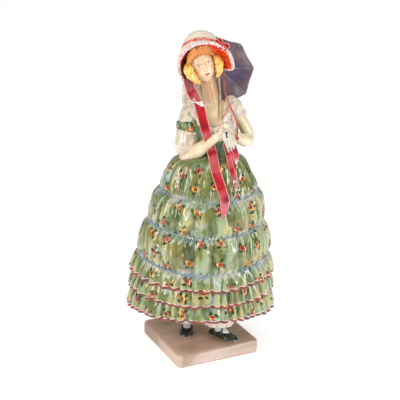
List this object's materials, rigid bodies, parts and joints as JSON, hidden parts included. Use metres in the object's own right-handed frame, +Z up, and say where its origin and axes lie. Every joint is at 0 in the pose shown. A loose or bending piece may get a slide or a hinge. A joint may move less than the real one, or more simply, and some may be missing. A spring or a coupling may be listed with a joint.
{
  "type": "porcelain lady figurine",
  "caption": "Glazed porcelain lady in a tiered flowered crinoline, with bonnet, long ribbons and open parasol, on a square plinth.",
  "frame": {"origin": "centre of the plinth's underside", "axes": "+Z up, the plinth's front side faces -Y, the lady stands turned 26.5 degrees clockwise on it as seen from above"},
  "size_m": [0.1058, 0.0965, 0.2323],
  "materials": {
    "lady_glaze": "glossy clear glaze over hand-painted colours",
    "parasol_glaze": "glossy clear glaze over mauve",
    "plinth_glaze": "glossy clear glaze over streaked pinkish beige"
  },
  "bodies": {
    "root": {"plinth": "plinth_glaze", "lady": "lady_glaze", "parasol": "parasol_glaze"}
  },
  "joints": []
}
